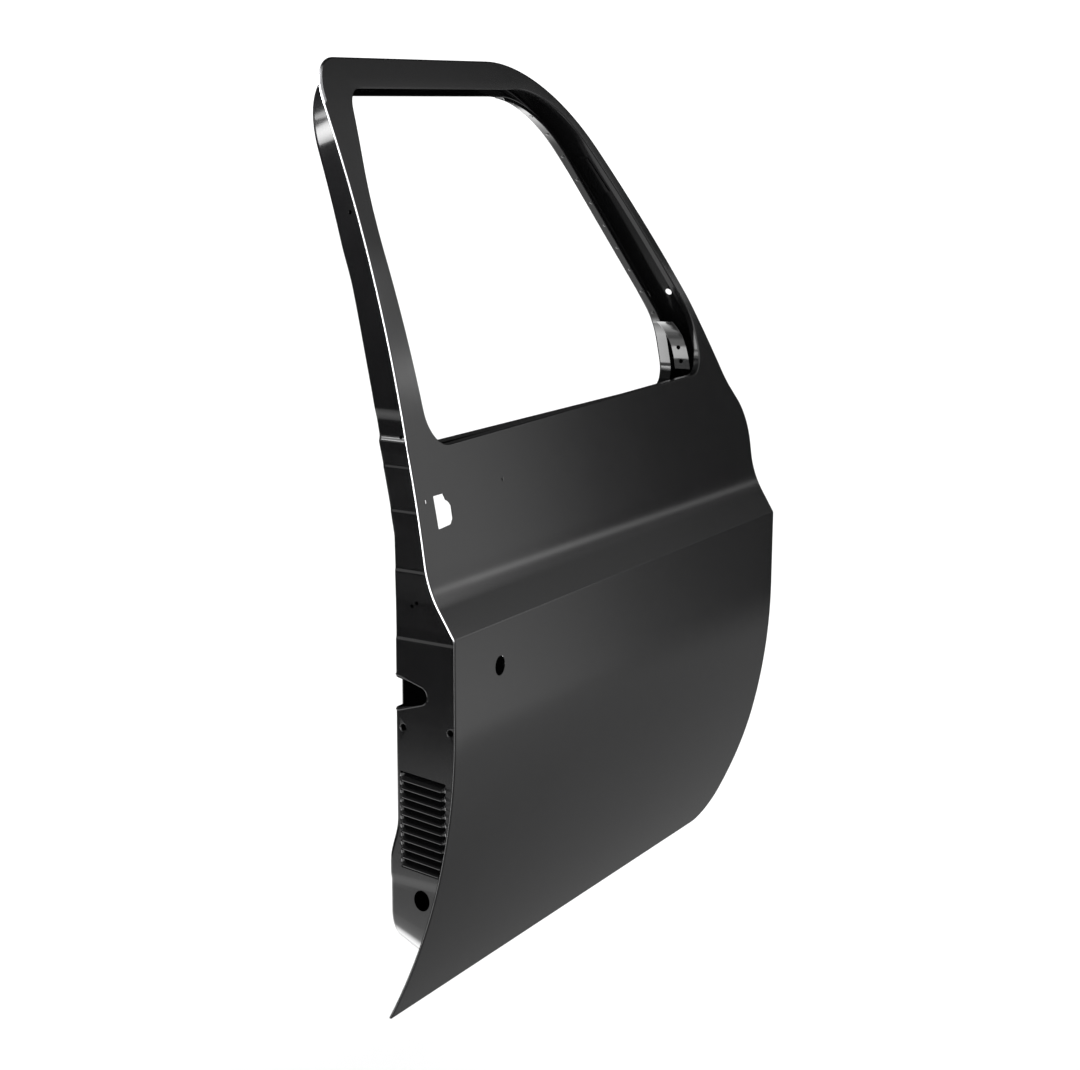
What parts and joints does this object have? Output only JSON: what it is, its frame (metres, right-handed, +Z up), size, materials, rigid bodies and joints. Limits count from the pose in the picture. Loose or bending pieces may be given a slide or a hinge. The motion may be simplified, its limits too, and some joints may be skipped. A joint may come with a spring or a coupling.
{
  "type": "vehicle door shell",
  "caption": "Right-hand front door shell of a pickup: hemmed outer panel over a deep-drawn inner panel with louvred rear jamb, framed window opening and welded-in reinforcements",
  "frame": {"origin": "centre of the upper hinge seat, on the outside of the front jamb", "axes": "+X towards the front of the vehicle and out of the hinge seats, +Y inward to the cab, +Z up; the outside face looks along -Y"},
  "size_m": [1.0887, 0.258, 1.262],
  "materials": {
    "skin_primer": "satin black transport primer, smooth",
    "panel_primer": "semi-gloss black electrocoat primer",
    "nut_steel": "dark phosphated steel"
  },
  "bodies": {
    "root": {"outer_panel": "skin_primer", "inner_panel": "panel_primer", "outer_belt_reinforcement": "panel_primer", "inner_belt_reinforcement": "panel_primer", "upper_hinge_reinforcement": "panel_primer", "upper_tapping_plate": "nut_steel", "upper_plate_cage": "panel_primer", "lower_hinge_reinforcement": "panel_primer", "lower_tapping_plate": "nut_steel", "lower_plate_cage": "panel_primer", "latch_reinforcement": "panel_primer", "handle_reinforcement": "panel_primer", "mirror_reinforcement": "panel_primer", "pillar_reinforcement": "panel_primer", "front_corner_gusset": "panel_primer", "pillar_bracket": "panel_primer", "rear_channel_bracket": "panel_primer", "front_channel_bracket": "panel_primer", "weld_nut_1": "nut_steel", "weld_nut_2": "nut_steel", "weld_nut_3": "nut_steel", "weld_nut_4": "nut_steel", "weld_nut_5": "nut_steel", "weld_nut_6": "nut_steel"}
  },
  "joints": []
}
